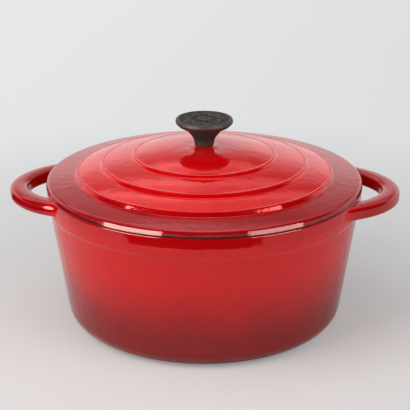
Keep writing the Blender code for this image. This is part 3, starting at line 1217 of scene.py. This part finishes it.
@dataclass
class Knob:
    """The dished knob with a wreath in low relief, on a flared neck."""

    finish: bpy.types.Material
    seat: float = 155.6
    radius: float = 24.9
    height: float = 23.6
    rim_thickness: float = 6.8
    rim_width: float = 3.4
    dish_depth: float = 1.5
    neck_radius: float = 8.2
    neck_height: float = 5.5
    underside_rise: float = 3.2
    hole_radius: float = 5.2
    hole_depth: float = 12.3
    leaves: int = 9
    petals: int = 8
    relief: float = 1.3
    steps: int = 288
    sharp_deg: float = 60.0

    @property
    def lip_radius(self) -> float:
        """Radius at which the dish meets the rolled lip."""
        return self.radius - self.rim_width

    def corners(self) -> list[Corner]:
        """Corners from the middle of the dish round to the blind hole.

        Returns:
            The corners in order.
        """
        top = self.seat + self.height
        dish = top - self.dish_depth
        low = top - self.rim_thickness
        hole_end = self.seat + self.hole_depth
        corners = [Corner(0.0, dish)]
        radius = 0.6
        while radius < self.lip_radius - 1.2:
            corners.append(Corner(radius, dish))
            radius += 0.4
        middle = (self.neck_radius + self.lip_radius) / 2.0
        return corners + [
            Corner(self.lip_radius - 0.1, dish, 0.5),
            Corner(self.lip_radius + 0.4, top, 0.9),
            Corner(self.radius - 0.7, top - 0.5, 1.6),
            Corner(self.radius, top - 3.7, 2.4),
            Corner(self.lip_radius + 0.2, low, 4.0),
            Corner(middle + 0.4, low - self.underside_rise, 6.0),
            Corner(self.neck_radius + 0.7, self.seat + self.neck_height, 12.0),
            Corner(self.neck_radius, self.seat, 0.4),
            Corner(self.hole_radius, self.seat),
            Corner(self.hole_radius, hole_end),
            Corner(0.0, hole_end),
        ]

    def raised(self, radius: float, turn: float, height: float) -> float:
        """Height of the relief above the dish.

        Args:
            radius: Distance from the knob's axis, in millimetres.
            turn: Direction round the axis, in radians.
            height: Level of the plain surface, in millimetres.

        Returns:
            How far the surface is raised, in millimetres.
        """
        dish = self.seat + self.height - self.dish_depth
        if height > dish + 0.01 or height < dish - 0.01 or radius > self.lip_radius - 1.0:
            return 0.0
        return self.relief * max(
            self.rosette(radius, turn), self.wreath(radius, turn), self.berries(radius, turn)
        )

    @staticmethod
    def off_centre(turn: float, count: int, shift: float = 0.0) -> float:
        """Angle from the nearest of some places spread evenly round the axis."""
        spacing = 2.0 * math.pi / count
        return (turn + spacing * (0.5 + shift)) % spacing - spacing / 2.0

    def rosette(self, radius: float, turn: float) -> float:
        """Pointed petals round a button in the middle.

        Args:
            radius: Distance from the knob's axis, in millimetres.
            turn: Direction round the axis, in radians.

        Returns:
            The height as a share of the relief.
        """
        button = max(0.0, 1.0 - (radius / 1.9) ** 2) ** 0.5
        place = radius * self.off_centre(turn, self.petals)
        along = (radius - 5.2) / 3.0
        across = place / (1.75 * max(1.0 - 0.35 * along, 0.2))
        petal = max(0.0, 1.0 - along * along - across * across) ** 0.35
        vein = 0.6 * max(0.0, 1.0 - abs(place) / 0.45)
        return max(button, petal - vein * petal)

    def wreath(self, radius: float, turn: float) -> float:
        """Leaves that follow each other round the dish.

        Args:
            radius: Distance from the knob's axis, in millimetres.
            turn: Direction round the axis, in radians.

        Returns:
            The height as a share of the relief.
        """
        best = 0.0
        for side, shift in ((1.0, 0.0), (-1.0, 0.5)):
            place = radius * self.off_centre(turn, self.leaves, shift)
            lean = side * 0.42
            out = radius - 14.6 - side * 1.3
            along = (place * math.cos(lean) + out * math.sin(lean)) / 4.3
            across = (out * math.cos(lean) - place * math.sin(lean)) / 1.7
            leaf = max(0.0, 1.0 - along * along - across * across) ** 0.35
            vein = 0.65 * max(0.0, 1.0 - abs(across) * 1.7 / 0.5)
            best = max(best, leaf - vein * leaf)
        return best

    def berries(self, radius: float, turn: float) -> float:
        """Small beads just inside the lip."""
        place = radius * self.off_centre(turn, 4 * self.leaves)
        return 0.7 * max(0.0, 1.0 - ((radius - 19.2) ** 2 + place**2) / 0.95**2) ** 0.5

    def build(self) -> bpy.types.Object:
        """Turn the knob and ride it on the lid body.

        Returns:
            The new object.
        """
        shape = TurnedShape("knob_moulding", self.corners(), self.steps)
        piece = shape.build([self.finish], self.raised, self.sharp_deg)
        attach(piece, "lid")
        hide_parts("knob")
        return piece


@dataclass
class KnobFixings:
    """The screw, washers and insert that hold the knob, as the frame has them."""

    nodes: dict[str, bpy.types.Object]

    def dress(self) -> None:
        """Give each node its metal."""
        steel = TurnedMetal("stainless_steel_turned", "BDBDC1").material()
        pressed = TurnedMetal("stainless_steel_pressed", "A9A9AD", 0.6, 0.34).material()
        brass = TurnedMetal("brass_turned", "D9B56A").material()
        finishes = {
            "knob_screw": steel,
            "flat_washer": pressed,
            "spring_washer": pressed,
            "knob_insert": brass,
        }
        for name, finish in finishes.items():
            for slot in self.nodes[name].material_slots:
                slot.material = finish
            LOG.info("dressed %s in %s", name, finish.name)


# The studio


def bearing(azimuth_deg: float) -> Vector:
    """Level direction from the pot, for an azimuth from the camera's side."""
    azimuth = math.radians(azimuth_deg)
    return Vector((math.sin(azimuth), -math.cos(azimuth), 0.0))


def area_lamp(name: str, spot: Vector, size: float, level: float, colour: str) -> None:
    """Hang a square lamp that faces the pot and shows in no reflection.

    Args:
        name: The lamp's name.
        spot: Its place, in metres.
        size: Its side, in metres.
        level: How bright it shows a white face that is turned to it at the pot.
        colour: Its colour as sRGB hex.
    """
    data = bpy.data.lights.new(name, "AREA")
    data.shape = "SQUARE"
    data.size = size
    data.color = linear(colour)[:3]
    data.energy = level * math.pi**2 * spot.length_squared
    lamp = linked(name, data)
    lamp.location = spot
    lamp.rotation_mode = "QUATERNION"
    lamp.rotation_quaternion = (-spot).to_track_quat("-Z", "Y")
    lamp.visible_glossy = False
    lamp.visible_camera = False


def plane_of(name: str, corners: list[Vector]) -> bpy.types.Object:
    """Make an object of one face.

    Args:
        name: The object's name.
        corners: Its corners in order, in metres.

    Returns:
        The new object, linked to the scene.
    """
    mesh = bpy.data.meshes.new(name)
    mesh.from_pydata([tuple(corner) for corner in corners], [], [tuple(range(len(corners)))])
    plane = linked(name, mesh)
    return plane


def mirror_card(name: str, corners: list[Vector], colour: str, strength: float) -> None:
    """Make a glowing card that only glossy rays see.

    Args:
        name: The name of the card and its material.
        corners: Its corners in order, in metres.
        colour: Its colour as sRGB hex.
        strength: Its level, where 1 shows the colour as written.
    """
    card = plane_of(name, corners)
    material, graph = new_material(name)
    light = {"Color": linear(colour), "Strength": strength}
    graph.finish(graph.add("ShaderNodeEmission", inputs=light))
    card.data.materials.append(material)
    card.visible_camera = False
    card.visible_diffuse = False
    card.visible_transmission = False
    card.visible_shadow = False
    card.visible_volume_scatter = False


@dataclass(frozen=True)
class Softbox:
    """A lit panel: an upright card for its reflection and a larger lamp for its light."""

    name: str
    azimuth_deg: float
    half_angle_deg: float
    reflection: float
    level: float
    lamp_azimuth_deg: float
    distance: float = 0.85
    low: float = 0.0
    high: float = 0.46
    lamp_height: float = 0.75
    lamp_distance: float = 1.0
    lamp_size: float = 0.9
    colour: str = "FFF1E6"

    def build(self) -> None:
        """Make the card and its lamp."""
        way = bearing(self.azimuth_deg)
        half_width = self.distance * math.tan(math.radians(self.half_angle_deg))
        across = Vector((-way.y, way.x, 0.0)) * half_width
        foot = way * self.distance
        corners = []
        for side, height in ((-1, self.low), (1, self.low), (1, self.high), (-1, self.high)):
            corners.append(foot + across * side + Vector((0.0, 0.0, height)))
        mirror_card(self.name + "_card", corners, self.colour, self.reflection)
        spot = bearing(self.lamp_azimuth_deg) * self.lamp_distance
        spot.z = self.lamp_height
        area_lamp(self.name + "_lamp", spot, self.lamp_size, self.level, self.colour)


@dataclass
class Studio:
    """Pale table and surroundings, two softboxes and the camera.

    The levels are pairs of elevation in degrees and brightness. The table's edge is given
    as pairs of azimuth in degrees and distance in metres.
    """

    backdrop: str = "E3E4E4"
    floor_colour: str = "CFD1D3"
    near_colour: str = "CBCCCE"
    horizon_colour: str = "E0E1E2"
    floor_half: float = 12.0
    near: float = 0.1
    far: float = 0.6
    near_share: float = 0.35
    mirror_near: float = 0.5
    mirror_far: float = 0.9
    fade_length: float = 3.0
    table_edge: Levels = (
        (-125.0, 0.41), (-112.0, 0.42), (-100.0, 0.43), (-88.0, 0.43), (-76.0, 0.43),
        (-66.0, 0.44), (-56.0, 0.445), (-47.0, 0.445), (-44.0, 0.425), (-42.0, 0.41),
        (-41.0, 0.39), (-30.0, 0.39), (-17.0, 0.39), (-4.0, 0.39), (9.0, 0.39),
        (20.0, 0.39), (28.0, 0.39), (30.0, 0.415), (37.0, 0.425), (39.0, 0.445),
    )
    room_corners: Levels = ((0.9, -1.2), (0.9, -1.6), (-1.4, -1.6), (-1.4, 0.98))
    dark_level: float = 0.015
    ambient: float = 0.45
    sensor: float = 36.0
    lens: float = 114.15
    place: tuple[float, float, float] = (0.0384, -1.0677, 0.4887)
    pitch_deg: float = 70.005
    yaw: float = 0.036
    shift: float = 0.0019
    low_levels: Levels = ((0.0, 1.4), (16.0, 1.4), (18.0, 1.2), (22.0, 0.8))
    back_middle: Levels = (
        (26.0, 0.6), (29.0, 0.3), (31.0, 0.3), (34.0, 0.8), (37.0, 1.1), (41.0, 0.7), (46.0, 0.8),
    )
    left_middle: Levels = (
        (26.0, 0.65), (29.0, 0.5), (31.0, 0.55), (34.0, 1.3), (37.0, 1.8), (41.0, 1.2), (46.0, 1.0),
    )
    high_levels: Levels = ((60.0, 1.0), (70.0, 2.6), (90.0, 3.0))
    side_levels: Levels = ((0.0, 0.015), (50.0, 0.03), (62.0, 0.3), (72.0, 2.6), (90.0, 3.0))

    def camera(self) -> None:
        """Set up the camera at the photograph's angle."""
        data = bpy.data.cameras.new("camera")
        data.sensor_width = self.sensor
        data.lens = self.lens
        data.shift_x = self.shift
        camera = linked("camera", data)
        camera.location = self.place
        camera.rotation_euler = (math.radians(self.pitch_deg), 0.0, self.yaw)
        bpy.context.scene.camera = camera

    def floor(self) -> None:
        """Lay the floor, which turns into the plain backdrop further out, with painted light: paler
        away from the pot and towards -X.
        """
        signs = ((-1, -1), (1, -1), (1, 1), (-1, 1))
        half = self.floor_half
        floor = plane_of("floor", [Vector((x * half, y * half, 0.0)) for x, y in signs])
        material, graph = new_material("matt_paper_floor")
        place = graph.place()
        reach = graph.length(place)
        rays = graph.add("ShaderNodeLightPath").outputs
        shares = []
        for ray, near, far, least in (
            ("Is Camera Ray", self.near, self.far, self.near_share),
            ("Is Glossy Ray", self.mirror_near, self.mirror_far, 0.0),
        ):
            away = graph.ranged(reach, near, far, least, 1.0, smooth=True)
            shares.append(graph.maths("MULTIPLY", away, rays[ray]))
        # The plain colour grows paler from the pot outward and a little darker towards +X: painted
        # light and shade of the lamps.
        stops = ((0.05, self.near_colour), (0.2, self.horizon_colour), (0.6, self.backdrop))
        colour = graph.ramp(
            graph.ranged(reach, 0.0, self.fade_length),
            [(position, linear(code)) for position, code in stops],
        )
        matt = graph.add("ShaderNodeBsdfDiffuse", inputs={"Color": linear(self.floor_colour)})
        painted_side_light = graph.ranged(graph.axes(place)["X"], -0.3, 0.3, 1.05, 0.97)
        plain = graph.add("ShaderNodeEmission", inputs={"Color": colour, "Strength": painted_side_light})
        graph.finish(graph.either(graph.maths("MAXIMUM", *shares), matt, plain))
        floor.data.materials.append(material)

    def table_edges(self) -> None:
        """Lay the dark card that stands for the room beyond the table's edge."""
        corners = [bearing(azimuth_deg) * reach for azimuth_deg, reach in self.table_edge]
        corners += [Vector((x, y, 0.0)) for x, y in self.room_corners]
        raised = [spot + Vector((0.0, 0.0, MM)) for spot in corners]
        mirror_card("table_edge_card", raised, "FFFFFF", self.dark_level)

    @staticmethod
    def by_height(graph: Graph, height: Socket, levels: Levels) -> Socket:
        """A level of light that changes with the height of the direction.

        Args:
            graph: The world's nodes.
            height: The sine of the elevation.
            levels: Pairs of elevation in degrees and level.

        Returns:
            The level's socket.
        """
        stops = []
        for elevation, level in levels:
            stops.append((math.sin(math.radians(elevation)), (level, level, level, 1.0)))
        return graph.ramp(height, stops)

    def surroundings(self) -> None:
        """Light the world: plain to the camera, even to matt faces, a room to gloss."""
        world = bpy.data.worlds.new("studio")
        bpy.context.scene.world = world
        world.use_nodes = True
        graph = Graph(world.node_tree)
        axes = graph.axes(graph.place("Generated"))
        level = {0: graph.flat(axes)}
        flat = graph.add("ShaderNodeVectorMath", {"operation": "NORMALIZE"}, level).outputs[0]
        turned = graph.axes(flat)
        behind = graph.ranged(turned["Y"], 0.1, 0.45, smooth=True)
        rightward = graph.ranged(turned["X"], -0.12, 0.02)
        left_levels = self.low_levels + self.left_middle + self.high_levels
        back_levels = self.low_levels + self.back_middle + self.high_levels
        left = self.by_height(graph, axes["Z"], left_levels)
        right = self.by_height(graph, axes["Z"], back_levels)
        side = self.by_height(graph, axes["Z"], self.side_levels)
        back = graph.mixed(rightward, left, right, "FLOAT")
        room = graph.mixed(behind, side, back, "FLOAT")
        rays = graph.add("ShaderNodeLightPath").outputs
        lit = graph.mixed(rays["Is Glossy Ray"], self.ambient, room, "FLOAT")
        around = graph.add("ShaderNodeBackground", inputs={"Strength": lit})
        backdrop = {"Color": linear(self.backdrop), "Strength": 1.0}
        plain = graph.add("ShaderNodeBackground", inputs=backdrop)
        shader = graph.either(rays["Is Camera Ray"], around, plain)
        graph.finish(shader, "ShaderNodeOutputWorld")

    def build(self) -> None:
        """Set up camera, floor, surroundings and lamps."""
        self.camera()
        self.floor()
        self.table_edges()
        self.surroundings()
        Softbox("left_softbox", -46.0, 20.0, 14.0, 0.79, -58.0, high=0.42).build()
        Softbox("right_softbox", 50.0, 18.7, 8.0, 0.48, 58.0, high=0.46).build()
        area_lamp("top_lamp", Vector((-0.5, -0.2, 1.6)), 1.3, 0.24, "FFFFFF")
        bpy.context.scene.view_settings.view_transform = "Standard"
        LOG.info("built the studio")


def main() -> None:
    """Load the frame, build every piece and set up the studio."""
    logging.basicConfig(level=logging.INFO, format="%(name)s: %(message)s")
    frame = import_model()
    pot_red = RedEnamel(
        "red_enamel_fired_pot",
        Fade.DOWN,
        "C2040A",
        "80060E",
        # B0040A darkens the band under the rim, 107 to 118 mm up: painted shade of the lid's edge.
        "B0040A",
        (84.0, 20.0),
        (107.0, 118.0),
        swell_height_mm=0.35,
        stretch=2.5,
        edge_metallic=0.15,
    ).material()
    handle_red = RedEnamel(
        "red_enamel_fired_handles",
        Fade.OUTWARD,
        "C2040A",
        "9E040C",
        "9E040C",
        (135.0, 146.0),
        (160.0, 170.0),
        peel_height_mm=0.012,
        swell_height_mm=0.07,
    ).material()
    lid_red = RedEnamel(
        "red_enamel_fired_lid",
        Fade.OUTWARD,
        "D2040A",
        "A00612",
        "900812",
        (107.0, 115.0),
        (133.0, 136.4),
        metallic=0.32,
        edge_metallic=0.06,
        bare_mm=123.2,
    ).material()
    iron = RimIron().material()
    lining = LiningEnamel().material()
    casting = PotCasting([pot_red, iron, lining])
    made = [
        casting.build(),
        LoopHandle(casting, handle_red, "pot_handle_right", 0.0).build(),
        LoopHandle(casting, handle_red, "pot_handle_left", 180.0, spread_outer=3.0).build(),
        LidCasting([lid_red, iron, lining]).build(),
        Knob(KnobPhenolic().material()).build(),
    ]
    for piece in made:
        LOG.info("built %s with %d faces", piece.name, len(piece.data.polygons))
    KnobFixings(frame["nodes"]).dress()
    Studio().build()


if __name__ == "__main__":
    main()
